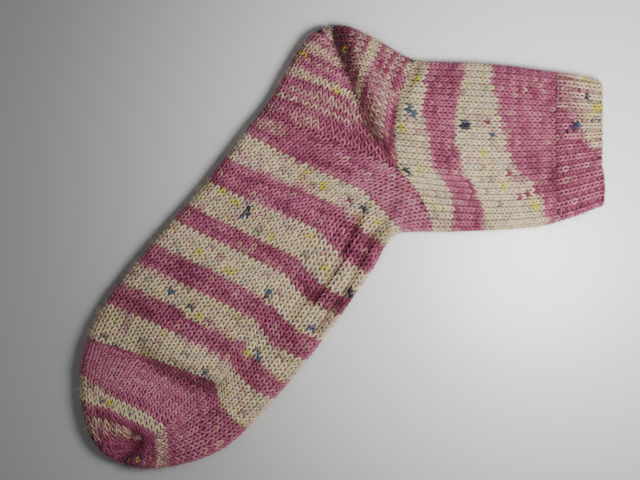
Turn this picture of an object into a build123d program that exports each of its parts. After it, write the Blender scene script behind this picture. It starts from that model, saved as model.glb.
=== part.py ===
"""A hand-knitted ankle sock lying flat on its side, made of its knitted sections.

The sock rests on Z = 0 with its leg along +X and its toe towards -X -Y. Every section is a
length of the same hollow fabric tube, cut where the knitting changes: at the cast-on edge,
the end of the ribbing, the heel's two short-row wedges, the side lines of the foot, the
start of the toe and the grafted tip.
"""

import os

from build123d import *

# Driving dimensions, in millimetres
thickness = 12.0  # two layers of fabric and the air between them
wall = 2.2  # one layer of knitted fabric
edge_radius = 5.4  # the soft roll of the folded edges
inner_radius = edge_radius - wall + 0.3
rib_length = 26.0  # depth of the ribbed cuff
cast_on_length = 2.4  # depth of the cast-on edge
yarn = 1.6  # diameter of a darned-in yarn end
yarn_bend = 9.0  # radius of the bends in a darned-in yarn end
yarn_gap = 0.1  # between a darned-in yarn end and the fabric it lies on
margin = 20.0  # how far the cutting shapes run past the sock
far = 200.0  # beyond the sock on every side
inset_points = 48  # places where the outline is drawn in to make the hollow

# Landmarks of the outline, from the back of the cuff round the heel and toe to its front
cuff_back = (134.5, 86.8)
leg_back = [(108.0, 91.5), (74.0, 95.6), (44.0, 96.6), (33.0, 99.6), (19.5, 107.6)]
heel = [(2.0, 115.2), (-13.0, 112.6), (-23.0, 101.5), (-37.0, 77.0), (-50.0, 60.5)]
sole_edge = [(-74.0, 29.5), (-101.5, -1.5), (-125.0, -32.5), (-135.6, -62.0)]
toe_edge = [(-133.2, -93.0), (-120.5, -110.0), (-97.0, -115.2), (-66.0, -107.5)]
instep_edge = [(-44.0, -89.5), (-13.0, -53.0), (15.0, -14.0), (23.5, 1.0)]
leg_front = [(31.5, 7.2), (56.0, 7.8), (84.0, 9.0), (110.0, 12.0)]
cuff_front = (134.0, 20.5)

# Points where the knitting changes
mouth_x = 137.0
rib_x = mouth_x - rib_length
ankle_back = (38.0, 98.0)  # end of the heel on the back of the leg
ankle_middle = (25.0, 66.0)  # the heel's upper edge bows towards the foot here
ankle_side = (29.5, 40.0)  # where heel, leg, instep and sole meet on the side
ankle_bend = (40.0, 26.0)  # the leg's last round bows towards the cuff here
ankle_front = (46.5, 5.0)  # end of the leg at the front
heel_turn = (-1.0, 117.0)  # where the short rows turn, at the tip of the heel
heel_crease = (6.5, 80.0)  # a point on the line where the short rows turn
heel_start = (-48.0, 71.0)  # start of the heel on the sole
toe_side = (-66.5, -69.5)  # start of the toe decreases on the side
toe_start_sole = (-133.5, -47.0)
toe_start_instep = (-47.5, -92.5)
toe_tip = (-106.0, -105.0)  # where the toe is grafted shut
graft_length = 14.0
graft_width = 7.0

# Routes of the two yarn ends, darned along the inside of the fabric
cast_on_route = [(133.0, 31.0), (119.0, 29.0), (105.0, 25.0), (91.0, 27.0), (78.0, 22.0)]
toe_route = [(-101.0, -98.0), (-90.0, -93.0), (-81.0, -82.0), (-69.0, -77.0)]


def outline(inset, reach):
    """The sock's outline in plan, drawn in by inset and run past the mouth by reach."""
    points = [cuff_back, *leg_back, *heel, *sole_edge, *toe_edge, *instep_edge, *leg_front, cuff_front]
    with BuildSketch(mode=Mode.PRIVATE) as plan:
        with BuildLine():
            edge = Spline(*points, mode=Mode.PRIVATE)
            steps = [i / inset_points for i in range(inset_points + 1)]
            inward = [edge @ t + (edge % t).rotate(Axis.Z, 90) * inset for t in steps]
            soft_edge = Spline(*(inward if inset else points))
            far_back = soft_edge @ 0 - (soft_edge % 0) * reach
            far_front = soft_edge @ 1 + (soft_edge % 1) * reach
            Polyline(soft_edge @ 1, far_front, far_back, soft_edge @ 0)
        make_face()
    return plan.sketch


# The whole fabric tube: a soft-edged slab, hollow and open at the cuff
with BuildPart() as fabric:
    with BuildSketch(Plane.XY):
        add(outline(0, margin))
    extrude(amount=thickness)
    rims = fabric.edges().filter_by(Axis.Z, reverse=True) - fabric.faces().sort_by(Axis.X)[-1].edges()
    fillet(rims, radius=edge_radius)
    with BuildPart(mode=Mode.PRIVATE) as hollow:
        with BuildSketch(Plane.XY.offset(wall)):
            add(outline(wall, 2 * margin))
        extrude(amount=thickness - 2 * wall)
        hollow_mouth = hollow.faces().sort_by(Axis.X)[-1]
        fillet(hollow.edges().filter_by(Axis.Z, reverse=True) - hollow_mouth.edges(), radius=inner_radius)
    add(hollow.part, mode=Mode.SUBTRACT)


def section(name, corners):
    """The stretch of the fabric tube inside a polygon, as a labelled solid in its own file."""
    with BuildPart() as piece:
        add(fabric.part)
        with BuildSketch(Plane.XY.offset(-margin)):
            with BuildLine():
                Polyline(*corners, close=True)
            make_face()
        extrude(amount=thickness + 2 * margin, mode=Mode.INTERSECT)
    piece.part.label = name
    export_step(piece.part, f"parts/{name}.step")
    print(name, len(piece.part.solids()), round(piece.part.volume))
    return piece


os.makedirs("parts", exist_ok=True)

cast_on_edge = section("cast_on_edge", [
    (mouth_x - cast_on_length, -far), (mouth_x, -far), (mouth_x, far), (mouth_x - cast_on_length, far)])

cuff_ribbing = section("cuff_ribbing", [
    (rib_x, -far), (mouth_x - cast_on_length, -far), (mouth_x - cast_on_length, far), (rib_x, far)])

leg = section("leg", [
    (ankle_front[0], -far), (rib_x, -far), (rib_x, far), (ankle_back[0], far),
    ankle_back, ankle_middle, ankle_side, ankle_bend, ankle_front])

heel_upper = section("heel_upper", [
    ankle_side, ankle_middle, ankle_back, (ankle_back[0], far), (heel_turn[0], far), heel_turn,
    heel_crease])

heel_lower = section("heel_lower", [
    ankle_side, heel_crease, heel_turn, (heel_turn[0], far), (-far, far), (-far, heel_start[1]),
    heel_start])

sole = section("sole", [
    ankle_side, heel_start, (-far, heel_start[1]), (-far, toe_start_sole[1]), toe_start_sole, toe_side])

instep = section("instep", [
    ankle_side, toe_side, toe_start_instep, (toe_start_instep[0], -far), (ankle_front[0], -far),
    ankle_front, ankle_bend])

tip_along = (Vector(*toe_tip) - Vector(*toe_side)).normalized()
tip_across = tip_along.rotate(Axis.Z, 90)
tip_near = Vector(*toe_tip) - tip_along * graft_length / 2
tip_left = tip_near - tip_across * graft_width
tip_right = tip_near + tip_across * graft_width
tip_out = tip_along * far

toe_sole = section("toe_sole", [
    toe_side, toe_start_sole, (-far, toe_start_sole[1]), tip_left + tip_out, tip_left, tip_near])

toe_top = section("toe_top", [
    toe_side, tip_near, tip_right, tip_right + tip_out, (toe_start_instep[0], -far), toe_start_instep])

toe_graft = section("toe_graft", [tip_left, tip_right, tip_right + tip_out, tip_left + tip_out])


def darned_end(name, route):
    """A yarn end lying along the inside of the lower layer of fabric."""
    height = wall + yarn_gap + yarn / 2
    with BuildPart() as tail:
        with BuildLine() as path:
            FilletPolyline(*[(x, y, height) for x, y in route], radius=yarn_bend)
        with BuildSketch(Plane(origin=path.line @ 0, z_dir=path.line % 0)):
            Circle(yarn / 2)
        sweep()
    tail.part.label = name
    export_step(tail.part, f"parts/{name}.step")
    print(name, len(tail.part.solids()), round(tail.part.volume), "along", round(path.wire().length, 1))
    return tail


cast_on_tail = darned_end("cast_on_tail", cast_on_route)
toe_tail = darned_end("toe_tail", toe_route)
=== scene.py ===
"""A hand-knitted sock lying flat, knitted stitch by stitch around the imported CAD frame.

Every row of stitches is a length of yarn that loops through the rows beside it. The rows are laid
out in plan between guides (the soft edges, the side line and the heel's crease) and wrapped on a
flattened tube that rolls over at the edges. Lengths are in millimetres until meshes are made.
"""

from math import ceil, pi, radians, sqrt

import bpy
import numpy as np
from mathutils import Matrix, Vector


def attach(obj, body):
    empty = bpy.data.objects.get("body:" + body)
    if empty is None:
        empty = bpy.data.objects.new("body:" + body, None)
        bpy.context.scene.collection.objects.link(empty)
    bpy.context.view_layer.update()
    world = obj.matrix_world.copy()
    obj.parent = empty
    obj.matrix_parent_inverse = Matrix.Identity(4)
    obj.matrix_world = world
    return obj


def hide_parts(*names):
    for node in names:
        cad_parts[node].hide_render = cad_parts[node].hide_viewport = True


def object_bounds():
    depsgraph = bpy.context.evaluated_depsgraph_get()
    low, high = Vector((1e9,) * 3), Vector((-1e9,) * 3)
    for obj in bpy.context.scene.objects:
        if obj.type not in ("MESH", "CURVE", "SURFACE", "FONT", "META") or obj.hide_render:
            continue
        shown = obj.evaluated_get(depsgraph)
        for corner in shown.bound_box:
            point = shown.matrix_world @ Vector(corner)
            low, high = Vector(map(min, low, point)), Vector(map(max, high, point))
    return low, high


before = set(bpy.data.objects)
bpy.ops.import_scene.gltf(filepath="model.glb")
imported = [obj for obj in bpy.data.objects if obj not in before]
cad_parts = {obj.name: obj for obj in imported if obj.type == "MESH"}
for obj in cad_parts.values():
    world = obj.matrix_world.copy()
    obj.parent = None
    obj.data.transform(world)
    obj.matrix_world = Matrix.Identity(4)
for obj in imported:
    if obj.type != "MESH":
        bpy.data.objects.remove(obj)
cad_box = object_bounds()
MM = 0.001
rng = np.random.default_rng(56)  # a sock of 56 stitches in the round

# ---------------------------------------------------------------- the sock's size and its knitting

LOW, HIGH = (np.array(corner) / MM for corner in cad_box)
THICKNESS = HIGH[2] - LOW[2]
MIDDLE = THICKNESS / 2
YARN = 0.65  # radius of the yarn
LOOP_SWAY, LOOP_RISE = 0.25, 0.82  # a loop's swing sideways in stitches, and up and down in rows
LOOP_DEPTH = 0.54  # how far a loop swings out of and into the fabric
ROLL = MIDDLE - YARN - LOOP_DEPTH  # radius of the fabric where it rolls over at an edge
INSET = MIDDLE - ROLL  # the middle of the fabric lies this far inside the outline
RIB_RELIEF = 0.85  # how far knit ribs stand out
WALE_RELIEF, WALE_PINCH = 0.32, 0.055  # how far each column of stitches is rounded and narrowed
CREASE_DEPTH = 4.8  # the valley where the heel's short rows turn
LAYER_GAP = 1.35  # inside the rolled edge, a layer's middle stays this far from the mid plane

BACK, FRONT = 19, 9  # stitches of the upper side behind and in front of the side line
TURN = 3  # stitches left where the heel turns
RIB_ROWS, LEG_ROWS, FOOT_ROWS, TOE_ROWS, GRAFT_ROWS = 11, 32, 58, 26, 3
HEEL_ROWS, HEEL_SOLE_ROWS = 20, 24  # in the heel's wedge on the leg and in its wedge on the sole

# Landmarks of the outline, from the back of the cuff round the heel and toe to its front
OUTLINE = [
    (137.0, 86.0), (108.0, 91.5), (74.0, 95.6), (44.0, 96.6), (33.0, 99.6), (19.5, 107.6),
    (2.0, 115.2), (-13.0, 112.6), (-23.0, 101.5), (-37.0, 77.0), (-50.0, 60.5), (-74.0, 29.5),
    (-101.5, -1.5), (-125.0, -32.5), (-135.6, -62.0), (-133.2, -93.0), (-120.5, -110.0),
    (-97.0, -115.2), (-66.0, -107.5), (-44.0, -89.5), (-13.0, -53.0), (15.0, -14.0),
    (23.5, 1.0), (31.5, 7.2), (56.0, 7.8), (84.0, 9.0), (110.0, 12.0), (137.0, 21.5)]

# Points where the knitting changes
MOUTH_X = HIGH[0] - 2.0
RIB_X = HIGH[0] - 26.0
MOUTH_BACK, MOUTH_FRONT = (MOUTH_X - 1.0, 86.3), (MOUTH_X + 0.2, 21.2)
RIB_BACK, RIB_FRONT = (RIB_X, 91.0), (RIB_X, 12.0)
ANKLE_BACK, ANKLE_SIDE, ANKLE_FRONT = (37.5, 96.0), (29.3, 39.9), (46.4, 7.0)
CREASE = [ANKLE_SIDE, (20.0, 54.0), (14.0, 62.5), (10.0, 73.5), (6.0, 84.0), (1.0, 95.0), (-4.0, 106.0)]
HEEL_TURN_LEG, HEEL_TURN_SOLE, HEEL_START = (-3.6, 114.0), (-5.6, 113.4), (-42.5, 69.0)
TOE_SOLE, TOE_SIDE, TOE_INSTEP = (-130.8, -47.5), (-66.0, -69.9), (-48.5, -94.5)
TIP_SOLE, TIP_SIDE, TIP_INSTEP = (-113.6, -113.0), (-108.6, -107.0), (-112.8, -113.3)
SIDE_LINE = [ANKLE_SIDE, (19.2, 35.2), (9.2, 29.4), (-0.8, 21.3), (-12.7, 7.9), TOE_SIDE]


def smooth_path(points, steps=24):
    """A Catmull-Rom curve through the points, as a dense run of points."""
    p = np.array(points, float)
    p = np.vstack([2 * p[0] - p[1], p, 2 * p[-1] - p[-2]])
    t = np.linspace(0, 1, steps, endpoint=False)[:, None]
    spans = []
    for a, b, c, d in zip(p[:-3], p[1:-2], p[2:-1], p[3:]):
        spans.append(0.5 * (2 * b + (c - a) * t + (2 * a - 5 * b + 4 * c - d) * t**2
                            + (3 * b - a - 3 * c + d) * t**3))
    return np.vstack(spans + [p[-2:-1]])


def lengths(path):
    """The distance along a path to each of its points."""
    return np.r_[0, np.cumsum(np.linalg.norm(np.diff(path, axis=0), axis=1))]


def along(path, distance):
    """The points of a path at these distances along it."""
    run = lengths(path)
    return np.stack([np.interp(distance, run, path[:, i]) for i in range(path.shape[1])], -1)


def normals(path):
    """Unit normals on the left of a path."""
    t = np.gradient(path, axis=0)
    t /= np.linalg.norm(t, axis=1)[:, None]
    return np.stack([-t[:, 1], t[:, 0]], -1)


def nearest(xy, path):
    """The distance from each point to a path, and the share of the path where it is nearest."""
    flat = xy.reshape(-1, 2)
    step = np.gradient(path, axis=0)
    distance, share = np.empty(len(flat)), np.empty(len(flat))
    for k in range(0, len(flat), 4000):
        some = flat[k:k + 4000]
        at = np.hypot(*(some[:, None] - path[None]).transpose(2, 0, 1)).argmin(axis=1)
        gap, way = some - path[at], step[at]
        past = np.clip(np.sum(gap * way, -1) / np.sum(way * way, -1), -0.5, 0.5)
        distance[k:k + 4000] = np.hypot(*(gap - past[:, None] * way).T)
        share[k:k + 4000] = (at + past) / (len(path) - 1)
    return distance.reshape(xy.shape[:-1]), share.reshape(xy.shape[:-1])


def beside(xy, path):
    """How far to the right of a path each point lies, and where along it."""
    away, share = nearest(xy, path)
    at = np.rint(np.clip(share, 0, 1) * (len(path) - 1)).astype(int)
    return np.where(np.sum((xy - path[at]) * normals(path)[at], -1) > 0, -away, away), share


outer = smooth_path(OUTLINE)
edge = outer + normals(outer) * INSET
edge_run = lengths(edge)
crease_path = smooth_path(CREASE)

# Soft hollows and swellings of both sides: a line, how high, how wide
FOLDS = [
    # hollow at the toe's start
    ([(-103.0, -54.0), (-92.0, -63.5), (-80.0, -69.0), (-66.0, -72.5)], -1.9, 4.2),
    ([(-93.0, -45.0), (-82.0, -51.0), (-72.0, -58.0)], 0.7, 6.0),
    ([(-109.0, -64.0), (-103.0, -76.0), (-92.0, -84.0)], 1.3, 9.0),  # the toe swells
    ([(-108.0, -97.0), (-104.0, -101.0), (-112.0, -110.0)], -2.2, 2.8),  # pucker at the grafted tip
    ([(12.0, 20.0), (6.7, 8.8), (1.0, -3.0), (-5.0, -15.0), (-14.0, -27.0)], -2.3, 1.9),  # instep folds
    ([(17.0, 7.0), (12.0, -4.0), (5.5, -18.0), (-3.0, -31.0), (-12.0, -43.0)], -2.0, 1.9),
    ([(-10.0, -8.0), (-17.5, -24.0), (-27.0, -40.0)], -1.1, 2.2),
    ([(8.0, 2.0), (1.0, -13.0), (-8.0, -28.0)], 0.7, 2.6),
    ([(4.0, 14.0), (-4.0, -2.0), (-14.0, -18.0)], 0.5, 3.0),
    ([(27.0, 22.0), (20.0, 6.0)], -1.4, 2.8),  # hollow in front of the ankle
    ([(RIB_X, 91.0), (RIB_X, 12.0)], -0.7, 2.6),  # the ribbing draws in
    ([(40.0, 95.0), (33.0, 80.0), (27.5, 68.0), (26.5, 58.0)], -1.8, 3.0),  # end of the heel
    ([(-8.0, 104.0), (-2.0, 88.0), (6.0, 72.0)], 0.9, 6.0),  # the heel's lower wedge lies on top
]


def relief(xy):
    """How far folds and swellings lift the fabric at each point."""
    right, share = beside(xy, crease_path)  # the leg's side of the crease slopes down into it
    slope = np.where(right > 0, right / np.interp(share, [0, 1], [2.8, 7.5]), right / 2.2)
    rise = -CREASE_DEPTH * np.exp(-slope**2) * np.interp(share, [0, 0.3, 0.6, 1], [0.25, 0.75, 1, 1])
    for line, step, width in FOLDS:
        rise += step * np.exp(-(nearest(xy, smooth_path(line, 10))[0] / width)**2)
    x, y = xy[..., 0], xy[..., 1]
    return rise + 0.3 * np.sin(x / 17 + 1.3) * np.cos(y / 13 - 0.4) + 0.2 * np.sin((x + y) / 9 + 2)


def height(xy, rise):
    """Height of the fabric's middle over the sock's mid plane: a soft roll, then nearly flat."""
    d = np.clip(nearest(xy, edge)[0], 0, ROLL)
    return np.sqrt(np.maximum(ROLL**2 - (ROLL - d)**2, 0)) * np.maximum(1 + rise / ROLL, LAYER_GAP / ROLL)


# ---------------------------------------------------------------- guides and patches

def edge_guide(rows, points):
    """A guide that follows the soft edge and passes these points at these rows."""
    stations = [edge_run[np.argmin(np.hypot(*(edge - p).T))] for p in points]
    return lambda v: along(edge, np.interp(v, rows, stations))


def line_guide(rows, points, shares=(0, 1)):
    """A guide along its own smooth line, at these shares of its length at these rows."""
    path = smooth_path(points)
    total = lengths(path)[-1]
    return lambda v: along(path, np.interp(v, rows, np.array(shares) * total))


def level(rows, values):
    """A value that changes with the row: a width in stitches, or how far a row bows."""
    return lambda v: np.interp(v, rows, values)


class Patch:
    """A stretch of fabric between guides a and b. Rows v run across it, from a to b.

    The sock's folded edge is at the guide that soft names. A row's stitches w count from a, and
    first is the number of stitches in the same row before this patch.
    """

    f_low, f_high, f_steps, v_step = -0.3, 1.3, 208, 0.25

    def __init__(self, node, part, rows, a, b, count, soft, bow=level([0], [0]), start=0, first=0):
        self.node, self.part, self.rows, self.start, self.first = node, part, rows, start, first
        self.a, self.b, self.count, self.soft, self.bow = a, b, count, soft, bow
        f = np.linspace(self.f_low, self.f_high, self.f_steps + 1)
        v = start + np.arange(-1.5, rows + 1.501, self.v_step)
        ff, vv = np.meshgrid(f, v)
        xy = self.plan(ff, vv)
        rise = relief(xy)
        p = np.concatenate([xy, height(xy, rise)[..., None]], -1)
        n = np.cross(np.gradient(p, axis=1), np.gradient(p, axis=0))
        n /= np.linalg.norm(n, axis=-1)[..., None] + 1e-9
        self.grids = p, n * np.sign(np.median(n[..., 2])), rise[..., None]

    def plan(self, f, v):
        """Plan position at a share f of row v, with the rolled edge allowed for."""
        a, b = self.a(v), self.b(v)
        chord = np.linalg.norm(b - a, axis=-1)
        roll = (pi / 2 - 1) * ROLL
        from_edge = (f if self.soft == "a" else 1 - f) * (chord + roll)
        turned = ROLL * (1 - np.cos(np.clip(from_edge, 0, pi / 2 * ROLL) / ROLL))
        q = np.where(from_edge < pi / 2 * ROLL, turned, from_edge - roll) / chord
        t = (q if self.soft == "a" else 1 - q)[..., None]
        across = (b - a) / chord[..., None]
        left = np.stack([-across[..., 1], across[..., 0]], -1)
        return a + (b - a) * t + left * (4 * self.bow(v)[..., None] * t * (1 - t))

    def from_fold(self, w, n):
        """How many stitches from the sock's folded edge, in a row n stitches wide."""
        return w if self.soft == "a" else n - w

    def surface(self, w, v, n, row):
        """Position, normal and relief of the fabric at stitches w of this row of n, at heights v."""
        shrink = self.count(row + 0.5) / self.count(v)
        f = w / n * shrink if self.soft == "a" else 1 - (n - w) / n * shrink
        i = np.clip((f - self.f_low) / (self.f_high - self.f_low), 0, 1) * self.f_steps
        j = np.clip((v - self.start + 1.5) / self.v_step, 0, len(self.grids[0]) - 1.001)
        i0, j0 = np.minimum(i.astype(int), self.f_steps - 1), j.astype(int)
        fi, fj = (i - i0)[..., None], (j - j0)[..., None]
        out = []
        for g in self.grids:
            near = g[j0, i0] * (1 - fi) + g[j0, i0 + 1] * fi
            far = g[j0 + 1, i0] * (1 - fi) + g[j0 + 1, i0 + 1] * fi
            out.append(near * (1 - fj) + far * fj)
        return out


def side_point(back, front):
    """Where the side line crosses a round that runs straight from its back to its front."""
    share = 0.98 * BACK / (BACK + FRONT)
    return (back[0] + (front[0] - back[0]) * share, back[1] + (front[1] - back[1]) * share)


back_count, front_count = level([0], [BACK]), level([0], [FRONT])
toe_rows = [0, 13, 18, TOE_ROWS + GRAFT_ROWS]
rib_side = side_point(RIB_BACK, RIB_FRONT)
mouth_side = (MOUTH_X - 0.6, side_point(MOUTH_BACK, MOUTH_FRONT)[1])
cuff_rows = [0, RIB_ROWS]
cuff_bows = level(cuff_rows, [0.3, 0]), level(cuff_rows, [0.8, 0])
cuff_side = line_guide(cuff_rows, [mouth_side, rib_side])
cuff_edges = (edge_guide(cuff_rows, [MOUTH_BACK, RIB_BACK]),
              edge_guide(cuff_rows, [MOUTH_FRONT, RIB_FRONT]))
leg_side = line_guide([0, LEG_ROWS], [rib_side, (70.0, 36.5), ANKLE_SIDE])
foot_side = line_guide([0, 4, 8, 12.6, 19, 25, 35, 45, 50.3, FOOT_ROWS], SIDE_LINE,
                       [0, 0.088, 0.168, 0.234, 0.356, 0.477, 0.653, 0.823, 0.911, 1])
toe_side = line_guide(toe_rows, [TOE_SIDE, TIP_SIDE], [0, 0.5, 0.72, 1])
toe_edges = (edge_guide(toe_rows, [TOE_SOLE, (-135.5, -66.0), (-134.5, -79.5), TIP_SOLE]),
             edge_guide(toe_rows, [TOE_INSTEP, (-87.0, -114.0), (-97.0, -115.0), TIP_INSTEP]))
toe_counts = (level(toe_rows, [BACK, 17, 14, 3]), level(toe_rows, [FRONT, 8, 7, 3]))
toe_bows = level(toe_rows, [1.0, 1.6, 1.8, 0.4]), level(toe_rows, [-3.4, 0.8, 1.8, 0.4])

patches = [
    Patch("cuff_ribbing", "cuff", RIB_ROWS, cuff_edges[0], cuff_side, back_count, "a", cuff_bows[0]),
    Patch("cuff_ribbing", "cuff", RIB_ROWS, cuff_side, cuff_edges[1],
          front_count, "b", cuff_bows[1], first=BACK),
    Patch("leg", "leg", LEG_ROWS, edge_guide([0, LEG_ROWS], [RIB_BACK, ANKLE_BACK]), leg_side,
          back_count, "a", level([0, LEG_ROWS], [0, -5.5])),
    Patch("leg", "leg", LEG_ROWS, leg_side, edge_guide([0, LEG_ROWS], [RIB_FRONT, ANKLE_FRONT]),
          front_count, "b", level([0, LEG_ROWS], [0, 3.0]), first=BACK),
    Patch("heel_upper", "heel_upper", HEEL_ROWS,
          edge_guide([0, HEEL_ROWS], [ANKLE_BACK, HEEL_TURN_LEG]),
          line_guide([0, 2.6, 4.5, 8, 12, 16, HEEL_ROWS], CREASE, [0, 0.226, 0.366, 0.52, 0.67, 0.83, 1]),
          level([0, 8, HEEL_ROWS], [BACK, 13, TURN]), "a", level([0, 5, HEEL_ROWS], [-5.5, -2.0, 0])),
    Patch("heel_lower", "heel_lower", HEEL_SOLE_ROWS,
          edge_guide([0, HEEL_SOLE_ROWS], [HEEL_TURN_SOLE, HEEL_START]),
          line_guide([0, 13.9, HEEL_SOLE_ROWS], CREASE[::-1], [0, 0.472, 1]),
          level([0, 12, HEEL_SOLE_ROWS], [TURN, 12, BACK]), "a", level([0, HEEL_SOLE_ROWS], [0, 2.0])),
    Patch("sole", "foot", FOOT_ROWS,
          edge_guide([0, 7.1, FOOT_ROWS], [HEEL_START, (-50.5, 59.5), TOE_SOLE]), foot_side,
          back_count, "a", level([0, 7, FOOT_ROWS], [2.0, -0.7, 1.0])),
    Patch("instep", "foot", FOOT_ROWS, foot_side,
          edge_guide([0, 12.6, FOOT_ROWS], [ANKLE_FRONT, (20.5, 2.0), TOE_INSTEP]),
          front_count, "b", level([0, 8, 24, FOOT_ROWS], [3.0, 0, -3.2, -3.4]), first=BACK),
    Patch("toe_sole", "toe", TOE_ROWS, toe_edges[0], toe_side, toe_counts[0], "a", toe_bows[0]),
    Patch("toe_top", "toe", TOE_ROWS, toe_side, toe_edges[1], toe_counts[1], "b", toe_bows[1], first=BACK),
    Patch("toe_graft", "toe", GRAFT_ROWS, toe_edges[0], toe_side,
          toe_counts[0], "a", toe_bows[0], start=TOE_ROWS),
    Patch("toe_graft", "toe", GRAFT_ROWS, toe_side, toe_edges[1],
          toe_counts[1], "b", toe_bows[1], start=TOE_ROWS, first=BACK),
]

# ---------------------------------------------------------------- yarn

RING = 6  # points round the yarn
STEPS = 12  # points along one stitch
PARTS = ["cuff", "leg", "heel_upper", "heel_lower", "foot", "toe"]


def row_rng(part, row, salt=0):
    """Random numbers that belong to one row, the same in both patches it runs through."""
    return np.random.default_rng([salt, PARTS.index(part), int(row) + 50])


def uneven(w):
    """Unevenness from stitch to stitch, smooth along the yarn and none where patches join."""
    values = rng.standard_normal(int(w[-1]) + 1)
    values[[0, -1]] = 0
    return np.interp(w, np.arange(len(values)), values)


def knitted_row(patch, row):
    """One row's yarn: points, the fabric's normals, stitch numbers, radius and the painted light and shade
    for its colour.
    """
    n = max(round(float(patch.count(row + 0.5))), 1)
    w = np.arange(n * STEPS + 1) / STEPS
    t = 2 * pi * w
    # Stretched stitches lie flatter
    round_up = {"leg": 0.5, "heel_upper": 0.5, "cuff": 0}.get(patch.part, 0.15)
    sway = LOOP_SWAY * (1 + 0.10 * uneven(w)) * np.sin(2 * t) + WALE_PINCH * round_up * np.sin(t)
    rise = -LOOP_RISE * (1 + 0.08 * uneven(w)) * np.cos(t) + 0.05 * uneven(w)
    rise += row_rng(patch.part, row).uniform(-0.07, 0.07)
    depth = -LOOP_DEPTH * np.cos(2 * t) - WALE_RELIEF * round_up * np.cos(2 * pi * (w + sway))
    if patch.part == "cuff":  # knit one, purl one
        rib = np.sin(pi * (patch.first + w))
        settled = min((RIB_ROWS - row) / 2.5, 1)
        depth = depth * np.tanh(2.5 * rib) + settled * RIB_RELIEF * rib * np.where(rib > 0, 1.15, 0.35)
        sway = sway * 0.85 + 0.11 * (1 - np.cos(pi * (patch.first + w)))
    # The two layers' yarn meets where the sock is folded
    depth = depth + 0.4 * np.clip(1 - patch.from_fold(w, n) / 0.35, 0, 1)
    p, normal, fold = patch.surface(w + sway, row + 0.5 + rise, n, row)
    return p + normal * depth[:, None], normal, w, YARN * (1 + 0.05 * uneven(w)), painted_light_and_shade(depth, fold)


def cast_on_row(patch, turn):
    """One strand of the cast-on edge, twisted round its partner along the mouth."""
    n = int(patch.count(0))
    w = np.arange(n * STEPS + 1) / STEPS
    angle = 2 * pi * (w + turn)
    p, normal, fold = patch.surface(w, -0.4 + 0.2 * np.cos(angle), n, 0)
    depth = 0.42 * np.sin(angle)
    # The last value is painted light and shade for the strand's colour.
    return p + normal * depth[:, None], normal, w, np.full(len(w), 0.68), painted_light_and_shade(0.3 + depth, fold)


def painted_light_and_shade(depth, fold):
    """Painted light and shade for the yarn's colour: darker deep in the fabric and in folds, lighter where
    the yarn stands out and on swellings.
    """
    in_loop = np.interp(depth, [-0.9, -0.15, 0.45, 1.2], [0.30, 0.64, 1.10, 1.25])
    fold = fold[..., 0]
    return in_loop * np.exp(0.26 * np.minimum(fold, 0)) * (1 + 0.2 * np.clip(fold, 0, 1))


def shaded(colour, shade):
    """A colour under this much shade, stronger where light has passed through the dyed wool."""
    shade = shade[:, None]
    return colour ** (1 + 0.75 * np.clip(1 - shade, 0, 1)) * shade ** 0.75


def loose_end(route, height_up):
    """A yarn end darned along the inside of the lower layer."""
    path = smooth_path([(x, y, height_up) for x, y in route])
    total = lengths(path)[-1]
    squares = ceil(total / 8)  # one square of the texture for each 8 mm
    w = np.arange(squares * STEPS + 1) / STEPS
    p = along(path, w / squares * total)
    p[:, 1] += 0.3 * np.sin(1.7 * pi * w)
    return p, np.tile([0.0, 0.0, 1.0], (len(p), 1)), np.full(len(w), YARN)


# ---------------------------------------------------------------- dye

def srgb(r, g, b):
    """A colour as light, from its screen values."""
    c = np.array([r, g, b]) / 255
    return np.where(c <= 0.04045, c / 12.92, ((c + 0.055) / 1.055) ** 2.4)


PINK_DEEP, PINK, PINK_PALE = srgb(134, 54, 85), srgb(166, 83, 112), srgb(190, 118, 141)
CREAM, CREAM_WARM, CREAM_GREY = srgb(222, 202, 160), srgb(218, 188, 152), srgb(186, 178, 164)
NAVY, TEAL, YELLOW = srgb(8, 16, 58), srgb(44, 78, 108), srgb(196, 190, 50)
MAGENTA = srgb(136, 8, 80)

# Small flecks of dye here and there: colour, odds for each stitch, strength
FLECKS = [(YELLOW, 0.055, 0.5), (TEAL, 0.045, 0.5), (NAVY, 0.01, 0.8), (MAGENTA, 0.03, 0.6)]

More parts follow.
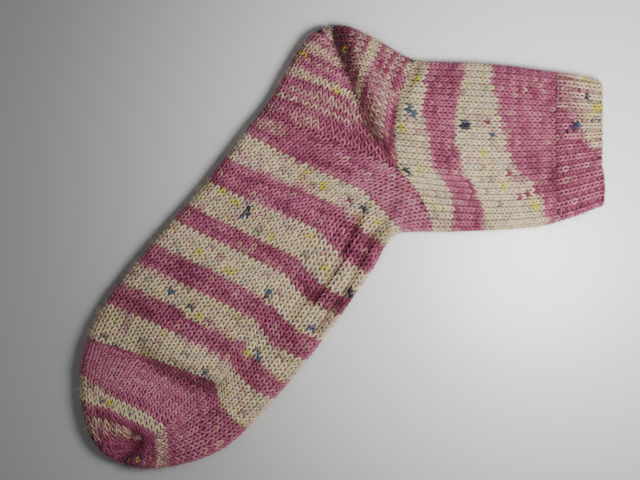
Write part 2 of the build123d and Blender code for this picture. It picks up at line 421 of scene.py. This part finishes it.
# Spots of strong dye on each part: row, stitch, stitches long, colour
SPOTS = {
    "foot": [
        (20, 8.2, 1.0, NAVY), (21, 8.6, 1.2, NAVY), (22, 8.2, 0.7, TEAL), (20, 6.2, 1.3, YELLOW),
        (19, 3.4, 1.0, YELLOW), (8, 11.3, 1.4, YELLOW), (9, 14.6, 1.8, YELLOW),
        (10, 14.9, 1.2, YELLOW), (20, 18.4, 1.0, YELLOW), (22, 22.5, 1.2, YELLOW),
        (32, 6.6, 1.2, YELLOW), (33, 11.8, 1.4, YELLOW), (23, 13.9, 0.9, YELLOW),
        (44, 12.0, 1.1, YELLOW), (45, 20.6, 1.4, YELLOW), (42, 7.0, 1.6, TEAL), (43, 10.5, 1.0, NAVY),
        (33, 18.2, 1.6, TEAL), (34, 18.4, 0.8, NAVY), (44, 22.2, 1.4, TEAL), (23, 26.8, 1.3, NAVY),
        (24, 27.2, 1.3, NAVY), (9, 24.4, 1.4, YELLOW), (9, 21.5, 2.0, TEAL), (56, 17.3, 1.2, TEAL),
        (55, 17.0, 0.8, NAVY), (33, 25.5, 1.2, TEAL), (10, 19.4, 1.3, MAGENTA)],
    "toe": [
        (16, 5.8, 1.2, YELLOW), (24, 21.0, 1.0, NAVY), (25, 21.0, 0.8, YELLOW)],
    "leg": [
        (18, 10.8, 2.2, NAVY), (17, 10.9, 1.6, NAVY), (30, 19.2, 1.8, NAVY), (29, 8.8, 2.4, TEAL),
        (28, 9.6, 1.8, TEAL), (29, 3.6, 1.8, YELLOW), (30, 12.0, 1.4, YELLOW),
        (27, 18.7, 1.2, YELLOW), (14, 15.2, 1.4, YELLOW), (11, 20.7, 1.8, YELLOW),
        (5, 24.0, 2.4, YELLOW), (4, 24.4, 1.6, YELLOW), (12, 12.3, 1.3, TEAL),
        (13, 10.2, 1.2, MAGENTA), (4, 21.8, 1.8, MAGENTA), (8, 22.6, 1.2, MAGENTA),
        (6, 22.2, 1.6, MAGENTA), (9, 18.6, 1.2, MAGENTA)],
    "cuff": [
        (6, 10.2, 1.8, NAVY), (5, 10.4, 1.2, TEAL), (3, 4.6, 1.3, NAVY), (3, 1.2, 1.8, YELLOW),
        (1, 7.2, 2.4, YELLOW), (0, 6.6, 2.0, YELLOW), (2, 1.6, 1.8, YELLOW), (1, 9.3, 1.6, TEAL),
        (4, 3.4, 1.2, MAGENTA), (7, 11.2, 1.4, NAVY)],
    "heel_upper": [
        (6, 4.2, 3.0, MAGENTA), (4, 4.8, 1.4, MAGENTA), (0, 0.9, 1.0, NAVY), (16, 4.0, 1.6, YELLOW)],
    "heel_lower": [
        (13, 9.0, 1.6, YELLOW), (12, 12.0, 1.3, TEAL), (8, 1.2, 1.4, YELLOW), (2, 0.8, 1.4, NAVY)],
}

# Rows where the stripes of the leg, the cuff and the toe change, and the stitches where they do so
LEG_TOP = [28.7, 28.0, 27.0, 26.6, 25.4, 25.2, 23.9, 24.2, 25.7, 27.9]
LEG_TOP_AT = [0, 3, 7, 10, 13, 17, 19.5, 22, 25, 28]
LEG_MIDDLE, LEG_MIDDLE_AT = [20.6, 20.0, 20.1, 20.0, 18.7, 17.9, 18.5], [0, 4, 9, 13, 17, 21, 27]
LEG_LOW = [14.4, 13.6, 11.4, 10.7, 9.6, 8.0, 5.6, 4.6, 3.0, 2.0]
LEG_LOW_AT = [0, 3.5, 8, 11, 15, 18, 19.5, 21, 24, 28]
CUFF, CUFF_AT = [6.5, 5.4, 5.0, 4.6, 4.4, 3.8, 3.0, -1], [0, 3, 5, 8, 11, 13, 14.5, 16]
CUFF_FADED, CUFF_FADED_AT = [10.6, 10.2, 9.6, 7.4, 4.6, 3.2, -1], [0, 4, 7, 9, 11, 15, 17]
TOE_STRIPE, TOE_STRIPE_AT = [13.4, 14.6, 15.5], [0, 6, 19]


def band(v, start, end, soft=0.5):
    """1 between two rows, fading to 0 outside them."""
    return np.clip((v - start) / soft + 0.5, 0, 1) * np.clip((end - v) / soft + 0.5, 0, 1)


def drift(part, row, w, length, salt):
    """Slow change along a row's yarn, from about -1 to 1."""
    phase = row_rng(part, row, salt).uniform(0, 2 * pi, 3)
    waves = [np.sin(2 * pi * w / (length * k) + p) for k, p in zip((1, 0.43, 0.19), phase)]
    return (waves[0] + 0.6 * waves[1] + 0.4 * waves[2]) / 1.5


def creaminess(part, row, w):
    """How much of the yarn's colour is cream, for stitches w of a row counted from the back edge."""
    v = row + 0.5 + 0.3 * drift(part, row, w, 16, 1)
    if part == "leg":
        top, low = np.interp(w, LEG_TOP_AT, LEG_TOP), np.interp(w, LEG_LOW_AT, LEG_LOW)
        c = band(v, top, 40) + band(v, low, np.interp(w, LEG_MIDDLE_AT, LEG_MIDDLE))
        return c - 0.75 * band(v, 3.2, 9.5) * band(w, 18.8, 20.2)
    if part == "cuff":
        return (0.55 * band(v, -3, np.interp(w, CUFF_AT, CUFF))
                + 0.33 * band(v, -3, np.interp(w, CUFF_FADED_AT, CUFF_FADED)))
    if part == "foot":
        first = band(v, 7.1, 12.6) * (1 - 0.5 * band(v, 10.5, 13.5) * band(w, 11, 15))
        return (first + band(v, 19.0, 25.0) + band(v, 28.9, 35.2) + band(v, 40.3, 45.4)
                + band(v, 50.3, 64) + 0.35 * band(v, 1.0, 3.5) * band(w, -2, 4))
    if part == "toe":
        stripe = band(v, np.interp(w, TOE_STRIPE_AT, TOE_STRIPE), 18.1) * (1 - 0.4 * band(w, 19, 40))
        return (stripe + 0.5 * band(v, 20.0, 22.6, 1.0) * band(w, -2, 9)
                + 0.5 * band(v, 23.5, 27) * band(w, 17, 19))
    if part == "heel_upper":
        return (band(v, -2, 1.2) * band(w, -2, 3.5) + 0.42 * band(v, 2.4, 4.4) + 0.30 * band(v, 5.4, 7.0)
                + 0.92 * band(v, 8.6, 11.2) + 0.45 * band(v, 12.3, 13.6) * band(w, -2, 7)
                + 0.3 * band(v, 14.6, 15.6))
    return (0.55 * band(v, -1, 2.0) + 0.3 * band(v, 3.0, 4.3) + 0.6 * band(v, 5.3, 7.6) * band(w, -2, 7)
            + 0.22 * band(v, 9.0, 10.2) + 0.75 * band(v, 12.0, 14.2) + 0.4 * band(v, 15.6, 16.8)
            + 0.5 * band(v, 17.9, 19.0) * band(w, -2, 12) + 0.25 * band(v, 21.2, 22.2) * band(w, -2, 8))


def dye(part, row, w):
    """The yarn's colour at stitches w of a row, counted from the back edge."""
    v = row + 0.5
    cream = np.clip(creaminess(part, row, w), 0, 1)
    lot = row_rng(part, row, 2)
    stitch = np.clip(np.floor(w).astype(int), 0, 39)
    chance = lot.random((40, 4))[stitch]
    fine = drift(part, row, w, 1.7, 3)
    slow = drift(part, row, w, 14, 4)
    cream = np.clip(cream + 0.22 * fine * (4 * cream * (1 - cream) + 0.15), 0, 1)
    depth = 0.5 + 0.35 * slow + 0.4 * (chance[:, 0] - 0.5)
    if part == "foot":
        pale_ankle = 0.4 * band(w, 17, 40, 4) * band(v, -2, 9, 2)
        deep_instep = 0.35 * band(w, 21, 40, 3) * band(v, 12, 38, 3)
        depth += pale_ankle - deep_instep
    if part == "heel_upper":
        # Deeper pink towards the heel's turn: partly the dye, partly painted shade of the fold at the
        # crease.
        depth -= 0.7 * band(v, 14.4, 30)
    if part == "toe":
        pale_start = (0.2 + 0.35 * band(w, -2, 18, 6)) * band(v, 3, 13, 4)
        depth += pale_start - 0.4 * band(v, 19, 40, 2)
    depth = np.clip(depth, 0, 1)[:, None]
    pink = np.where(depth < 0.5, PINK_DEEP + (PINK - PINK_DEEP) * depth * 2,
                    PINK + (PINK_PALE - PINK) * (depth * 2 - 1) * 0.7)
    pink = pink + (CREAM_WARM - pink) * (0.3 * (chance[:, 1] > 0.95))[:, None]
    pale = CREAM + (CREAM_WARM - CREAM) * chance[:, 1:2] * 0.7 + (CREAM_GREY - CREAM) * chance[:, 2:3] * 0.6
    pale = pale + (PINK_PALE - pale) * (0.5 * (chance[:, 0] > 0.93))[:, None]
    colour = pink + (pale - pink) * cream[:, None]
    colour = colour * (1 + 0.10 * fine + 0.16 * (chance[:, 3] - 0.5))[:, None]
    for tint, odds, strength in FLECKS:
        hit = (lot.random(40)[stitch] < odds) * strength * np.clip(cream * 1.2, 0.12, 1)
        colour = colour + (tint - colour) * (hit * np.abs(np.sin(pi * w)))[:, None]
    for spot_row, at, size, tint in SPOTS[part]:
        if spot_row == row:
            share = 0.96 * np.exp(-((w - at) / (0.42 * size))**4)
            colour = colour + (tint - colour) * share[:, None]
    return np.clip(colour, 0.003, 0.95)


# ---------------------------------------------------------------- meshes

def tube(points, normal, radius):
    """Rings of points round a line."""
    t = np.gradient(points, axis=0)
    t /= np.linalg.norm(t, axis=1)[:, None] + 1e-9
    side = np.cross(t, normal)
    side /= np.linalg.norm(side, axis=1)[:, None] + 1e-9
    up = np.cross(side, t)
    angle = 2 * pi * np.arange(RING) / RING
    ring = side[:, None] * np.cos(angle)[None, :, None] + up[:, None] * np.sin(angle)[None, :, None]
    return points[:, None] + radius[:, None, None] * ring


def add_mesh(name, points, faces, attributes, material):
    """A smooth mesh of quads with per-point attributes, as an object in the scene."""
    mesh = bpy.data.meshes.new(name)
    mesh.vertices.add(len(points))
    mesh.vertices.foreach_set("co", (points * MM).ravel())
    mesh.loops.add(faces.size)
    mesh.loops.foreach_set("vertex_index", faces.ravel().astype(np.int32))
    mesh.polygons.add(len(faces))
    mesh.polygons.foreach_set("loop_start", np.arange(0, faces.size, 4, dtype=np.int32))
    mesh.polygons.foreach_set("use_smooth", np.ones(len(faces), bool))
    mesh.update(calc_edges=True)
    for label, kind, field, values in attributes:
        layer = mesh.attributes.new(label, kind, "POINT")
        layer.data.foreach_set(field, values.ravel())
    mesh.materials.append(material)
    ob = bpy.data.objects.new(name, mesh)
    bpy.context.scene.collection.objects.link(ob)
    return ob


def yarn_mesh(name, strands, mirror, material):
    """Tubes of yarn, each a tuple of points, normals, radius and colours, as one piece."""
    verts, faces, colours, lays, cells = [], [], [], [], []
    total = 0
    for points, normal, radius, colour in strands:
        m = len(points)
        r = np.arange(RING)
        verts.append(tube(points, normal, radius).reshape(-1, 3))
        ring = total + np.arange(m - 1)[:, None] * RING
        near = ring + r, ring + (r + 1) % RING
        faces.append(np.stack([*near, near[1] + RING, near[0] + RING], -1).reshape(-1, 4))
        colours.append(np.repeat(colour, RING, axis=0))
        angle = np.tile(2 * pi * r / RING, m)
        run = np.repeat(lengths(points), RING)
        lays.append(np.stack([np.cos(angle), np.sin(angle), run], -1))
        cells.append((m - 1) // STEPS)
        total += m * RING
    v = np.vstack(verts)
    v[:, 2] = np.maximum(MIDDLE + (-v[:, 2] if mirror else v[:, 2]), 0.03)  # it rests on the table
    f = np.vstack(faces)
    rgba = np.hstack([np.vstack(colours), np.ones((len(v), 1))])
    # The dye attribute carries the dye with its painted light and shade multiplied in.
    attributes = [("dye", "FLOAT_COLOR", "color", rgba),
                  ("lay", "FLOAT_VECTOR", "vector", np.vstack(lays))]
    ob = add_mesh(name, v, f[:, ::-1] if mirror else f, attributes, material)
    # One square of the texture for each stitch
    count = sum(cells)
    side = ceil(sqrt(count))
    stitch, step, r = np.meshgrid(np.arange(count), np.arange(STEPS), np.arange(RING), indexing="ij")
    corners = [(step, r), (step, r + 1), (step + 1, r + 1), (step + 1, r)]
    uv = [np.stack([stitch % side + 0.06 + 0.88 * a / STEPS, stitch // side + 0.06 + 0.88 * b / RING], -1)
          for a, b in (corners[::-1] if mirror else corners)]
    layer = ob.data.uv_layers.new(name="OFBake")
    layer.data.foreach_set("uv", (np.stack(uv, -2) / side).astype(np.float32).ravel())
    return ob


# ---------------------------------------------------------------- materials

def node(tree, kind, **settings):
    """A shader node with its settings made, and its inputs set by name or number or linked."""
    n = tree.nodes.new(kind)
    for key, value in settings.items():
        if key == "inputs":
            for socket, source in value.items():
                if isinstance(source, bpy.types.NodeSocket):
                    tree.links.new(source, n.inputs[socket])
                else:
                    n.inputs[socket].default_value = source
        else:
            setattr(n, key, value)
    return n


def maths(tree, operation, a, b=0.0, c=0.0):
    """The result of a Math node."""
    return node(tree, "ShaderNodeMath", operation=operation, inputs={0: a, 1: b, 2: c}).outputs[0]


def place(tree):
    """Where on the object a point lies, in metres."""
    return node(tree, "ShaderNodeNewGeometry").outputs["Position"]


def yarn_material():
    """Three-ply wool: a twist of plies and stray fibres, tinted by the dye attribute, with painted shade in
    the grooves between the plies.
    """
    m = bpy.data.materials.new("sock_yarn")
    m.use_nodes = True
    tree = m.node_tree
    bsdf = tree.nodes["Principled BSDF"]
    tint = node(tree, "ShaderNodeAttribute", attribute_name="dye").outputs["Color"]
    lay = node(tree, "ShaderNodeAttribute", attribute_name="lay").outputs["Vector"]
    axes = node(tree, "ShaderNodeSeparateXYZ", inputs={0: lay}).outputs
    turn = maths(tree, "ARCTAN2", axes[1], axes[0])
    twist = maths(tree, "MULTIPLY_ADD", axes[2], 1.25, turn)  # radians of twist to a millimetre
    ply = maths(tree, "COSINE", maths(tree, "MULTIPLY", twist, 3.0))
    ply = maths(tree, "MULTIPLY_ADD", ply, 0.5, 0.5)
    around = node(tree, "ShaderNodeCombineXYZ", inputs={
        0: maths(tree, "COSINE", twist), 1: maths(tree, "SINE", twist),
        2: maths(tree, "MULTIPLY", axes[2], 0.35)})
    fibres = node(tree, "ShaderNodeTexNoise", inputs={
        "Vector": around.outputs[0], "Scale": 5.5, "Detail": 3.0, "Roughness": 0.65}).outputs[0]
    patchy = node(tree, "ShaderNodeTexNoise", inputs={
        "Vector": place(tree), "Scale": 420.0, "Detail": 2.0}).outputs[0]
    # Painted shade in the grooves between the plies, with random tone from fibres and patches, scales the
    # colour.
    shade = maths(tree, "MULTIPLY_ADD", ply, 0.34, 0.56)
    shade = maths(tree, "MULTIPLY_ADD", fibres, 0.34, shade)
    shade = maths(tree, "MULTIPLY_ADD", patchy, 0.22, maths(tree, "SUBTRACT", shade, 0.11))
    colour = node(tree, "ShaderNodeVectorMath", operation="SCALE", inputs={0: tint, 3: shade}).outputs[0]
    tree.links.new(colour, bsdf.inputs["Base Color"])
    tree.links.new(maths(tree, "MULTIPLY_ADD", fibres, 0.3, 0.68), bsdf.inputs["Roughness"])
    bumps = maths(tree, "MULTIPLY_ADD", fibres, 0.55, ply)
    bump = node(tree, "ShaderNodeBump", inputs={"Strength": 0.9, "Distance": 0.00022, "Height": bumps})
    tree.links.new(bump.outputs[0], bsdf.inputs["Normal"])
    bsdf.inputs["Sheen Weight"].default_value = 0.12
    bsdf.inputs["Sheen Roughness"].default_value = 0.5
    bsdf.inputs["IOR"].default_value = 1.4
    bsdf.inputs["Specular IOR Level"].default_value = 0.3
    return m


def fibres_and_shade_sheet_material():
    """Loose wool fibres, and the sheets of painted shade in the gaps, tinted by the dye attribute."""
    m = bpy.data.materials.new("sock_fibres_and_shade_sheet")
    m.use_nodes = True
    tree = m.node_tree
    bsdf = tree.nodes["Principled BSDF"]
    tint = node(tree, "ShaderNodeAttribute", attribute_name="dye").outputs["Color"]
    grain = node(tree, "ShaderNodeTexNoise", inputs={"Vector": place(tree), "Scale": 900.0}).outputs[0]
    tree.links.new(tint, bsdf.inputs["Base Color"])
    tree.links.new(maths(tree, "MULTIPLY_ADD", grain, 0.3, 0.5), bsdf.inputs["Roughness"])
    bump = node(tree, "ShaderNodeBump", inputs={"Strength": 0.3, "Distance": 0.00003, "Height": grain})
    tree.links.new(bump.outputs[0], bsdf.inputs["Normal"])
    bsdf.inputs["Specular IOR Level"].default_value = 0.15
    return m


# ---------------------------------------------------------------- the sock

yarn_stuff, fibres_and_shade_sheet_stuff = yarn_material(), fibres_and_shade_sheet_material()


def add_piece(ob, stands_for=None):
    """A piece of the sock, attached to the root body, with the CAD nodes it stands for hidden."""
    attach(ob, "root")
    for name in stands_for or []:
        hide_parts(name)


def painted_shade_sheet(name, group, mirror):
    """A thin sheet in mid fabric behind the gaps between the loops, coloured with the dye darkened by
    painted shade, standing in for the shade in those gaps.
    """
    verts, faces, colours = [], [], []
    total = 0
    for patch in group:
        last = patch.start + patch.rows
        for row in np.arange(patch.start, last, 0.5):
            n = max(round(float(patch.count(np.floor(row) + 0.5))), 1)
            w = np.arange(2 * n + 1) / 2
            for v in (row, row + 0.5):
                p, normal, fold = patch.surface(w, np.full(len(w), v), n, np.floor(row))
                verts.append(p - 0.3 * normal)
                tint = dye(patch.part, int(row), patch.first + np.clip(w, 0, n - 0.01))
                # Painted shade: the sheet is dark, less so near the folded edge.
                depth = -0.8 + 0.5 * (patch.from_fold(w, n) < 0.6)
                colours.append(shaded(tint, painted_light_and_shade(depth, fold)))
            k = total + np.arange(2 * n)
            faces.append(np.stack([k, k + 1, k + 2 * n + 2, k + 2 * n + 1], -1))
            total += 2 * (2 * n + 1)
    v = np.vstack(verts)
    v[:, 2] = MIDDLE + (-v[:, 2] if mirror else v[:, 2])
    rgba = np.hstack([np.vstack(colours), np.ones((len(v), 1))])
    return add_mesh(name, v, np.vstack(faces), [("dye", "FLOAT_COLOR", "color", rgba)], fibres_and_shade_sheet_stuff)


roots = []  # places where stray fibres may start: point, normal, direction, colour
for name in dict.fromkeys(patch.node for patch in patches):
    strands = []
    group = [patch for patch in patches if patch.node == name]
    for patch in group:
        for row in range(patch.start, patch.start + patch.rows):
            points, normal, w, radius, shade = knitted_row(patch, row)
            colour = shaded(dye(patch.part, row, patch.first + w), shade)
            strands.append((points, normal, radius, colour))
            surface = points + normal * radius[:, None] * 0.8
            roots.append(np.hstack([surface, normal, np.gradient(points, axis=0), colour]))
    add_piece(yarn_mesh(f"{name}_upper_yarn", strands, False, yarn_stuff), [name])
    add_piece(yarn_mesh(f"{name}_under_yarn", strands, True, yarn_stuff))
    for label, mirror in (("upper", False), ("under", True)):
        # Dark sheets of painted shade behind the gaps between the loops, on both sides.
        add_piece(painted_shade_sheet(f"{name}_{label}_gap_shade", group, mirror))

strands = []
for patch in patches[:2]:
    for turn in (0, 0.5):
        points, normal, w, radius, shade = cast_on_row(patch, turn)
        strands.append((points, normal, radius, shaded(dye("cuff", 0, patch.first + w), shade)))
add_piece(yarn_mesh("cast_on_edge_upper_yarn", strands, False, yarn_stuff), ["cast_on_edge"])
add_piece(yarn_mesh("cast_on_edge_under_yarn", strands, True, yarn_stuff))

TAIL_HEIGHT = 3.1  # the darned ends lie on the inside of the lower layer
TAILS = [
    ("cast_on_tail", [(133.0, 31.0), (119.0, 29.0), (105.0, 25.0), (91.0, 27.0), (78.0, 22.0)], PINK),
    ("toe_tail", [(-101.0, -98.0), (-90.0, -93.0), (-81.0, -82.0), (-69.0, -77.0)], PINK_DEEP)]
for name, route, tint in TAILS:
    points, normal, radius = loose_end(route, TAIL_HEIGHT - MIDDLE)
    strands = [(points, normal, radius, np.tile(tint, (len(points), 1)))]
    add_piece(yarn_mesh(f"{name}_yarn", strands, False, yarn_stuff), [name])


def stray_fibres(name, count, mirror):
    """Fine curved ribbons standing off the yarn all over one side of the sock."""
    pool, every = np.vstack(roots), 7
    edge_distance = nearest(pool[::every, :2], edge)[0]  # near enough the same for the next few roots
    weight = np.repeat(1 + 4 * np.exp(-(edge_distance / 4)**2), every)[:len(pool)]
    chosen = pool[rng.choice(len(pool), count, p=weight / weight.sum())]
    p, normal, along_yarn, colour = chosen[:, :3], chosen[:, 3:6], chosen[:, 6:9], chosen[:, 9:]
    along_yarn = along_yarn / (np.linalg.norm(along_yarn, axis=1)[:, None] + 1e-9)
    way = along_yarn * rng.choice([-1, 1], count)[:, None] + 0.7 * rng.standard_normal((count, 3))
    way += normal * rng.uniform(0.2, 1.2, count)[:, None]
    way /= np.linalg.norm(way, axis=1)[:, None]
    curl = rng.standard_normal((count, 3))
    length = np.minimum(rng.gamma(3.0, 0.8, count)[:, None] + 0.8, 6.0)
    width = rng.uniform(0.016, 0.034, count)[:, None]
    rings = []
    for t in np.linspace(0, 1, 4):
        centre = p + way * length * t + curl * (0.5 * length * t * t)
        centre[:, 2] = np.minimum(centre[:, 2], p[:, 2] + 1.6)
        across = np.cross(way, curl)
        across /= np.linalg.norm(across, axis=1)[:, None] + 1e-9
        half = across * width * (1 - 0.7 * t)
        rings.append(np.stack([centre - half, centre + half], 1))
    v = np.stack(rings, 1).reshape(-1, 3)
    v[:, 2] = np.maximum(MIDDLE + (-v[:, 2] if mirror else v[:, 2]), 0.05)
    base = np.arange(count)[:, None] * 8 + np.arange(3)[None] * 2
    faces = np.stack([base, base + 1, base + 3, base + 2], -1).reshape(-1, 4)
    colour = np.clip(colour * 1.1 + 0.05, 0, 0.95)
    rgba = np.hstack([np.repeat(colour, 8, axis=0), np.ones((len(v), 1))])
    add_piece(add_mesh(name, v, faces, [("dye", "FLOAT_COLOR", "color", rgba)], fibres_and_shade_sheet_stuff))


stray_fibres("upper_stray_fibres", 30000, False)
stray_fibres("under_stray_fibres", 8000, True)

# ---------------------------------------------------------------- floor, light and camera

def table_material():
    """Smooth white laminate, with a painted pool of light: lighter round one point, darker away from it."""
    m = bpy.data.materials.new("table")
    m.use_nodes = True
    tree = m.node_tree
    bsdf = tree.nodes["Principled BSDF"]
    grain = node(tree, "ShaderNodeTexNoise", inputs={
        "Scale": 700.0, "Detail": 3.0, "Vector": place(tree)}).outputs[0]
    # Painted pool of light: the table's colour is lightest near this point and darker away from it.
    pool = node(tree, "ShaderNodeVectorMath", operation="DISTANCE", inputs={
        0: place(tree), 1: (0.12, 0.06, 0)}).outputs["Value"]
    painted_light_pool = node(tree, "ShaderNodeMapRange", interpolation_type="SMOOTHSTEP", inputs={
        "Value": pool, "From Min": 0.02, "From Max": 0.30, "To Min": 0.95, "To Max": 0.40}).outputs[0]
    shade = maths(tree, "MULTIPLY", painted_light_pool, maths(tree, "MULTIPLY_ADD", grain, 0.05, 0.96))
    white = node(tree, "ShaderNodeVectorMath", operation="SCALE", inputs={0: (0.99, 1, 0.985), 3: shade})
    tree.links.new(white.outputs[0], bsdf.inputs["Base Color"])
    tree.links.new(maths(tree, "MULTIPLY_ADD", grain, 0.1, 0.24), bsdf.inputs["Roughness"])
    bump = node(tree, "ShaderNodeBump", inputs={"Strength": 0.1, "Distance": 0.0001, "Height": grain})
    tree.links.new(bump.outputs[0], bsdf.inputs["Normal"])
    return m


bpy.ops.mesh.primitive_plane_add(size=4, location=(0, 0, 0))
floor = bpy.context.object
floor.name = "table"
floor.data.materials.append(table_material())

world = bpy.data.worlds.new("world")
bpy.context.scene.world = world
world.use_nodes = True
world.node_tree.nodes["Background"].inputs["Color"].default_value = (0.95, 0.98, 1, 1)
world.node_tree.nodes["Background"].inputs["Strength"].default_value = 0.22


def spot_light(name, location, target, angle, radius, power):
    """A soft round pool of light."""
    data = bpy.data.lights.new(name, "SPOT")
    data.spot_size, data.spot_blend = radians(angle), 1.0
    data.shadow_soft_size, data.energy = radius, power
    lamp = bpy.data.objects.new(name, data)
    bpy.context.scene.collection.objects.link(lamp)
    lamp.location = location
    lamp.rotation_euler = (Vector(target) - Vector(location)).to_track_quat("-Z", "Y").to_euler()


spot_light("lamp", (0.155, -0.012, 0.31), (0.09, 0.01, 0.0), 118, 0.07, 7.2)

VIEW_WIDTH = 331.52 * MM  # how much of the table the camera sees from side to side
CAMERA_HEIGHT = 0.60
SOCK_HEIGHT = 0.010  # the camera's scale is right at this height
SENSOR = 36.0
camera_data = bpy.data.cameras.new("camera")
camera = bpy.data.objects.new("camera", camera_data)
bpy.context.scene.collection.objects.link(camera)
bpy.context.scene.camera = camera
camera_data.sensor_width = SENSOR
camera_data.lens = SENSOR * (CAMERA_HEIGHT - SOCK_HEIGHT) / VIEW_WIDTH
camera.location = (-11.137 * MM, 3.626 * MM, CAMERA_HEIGHT)
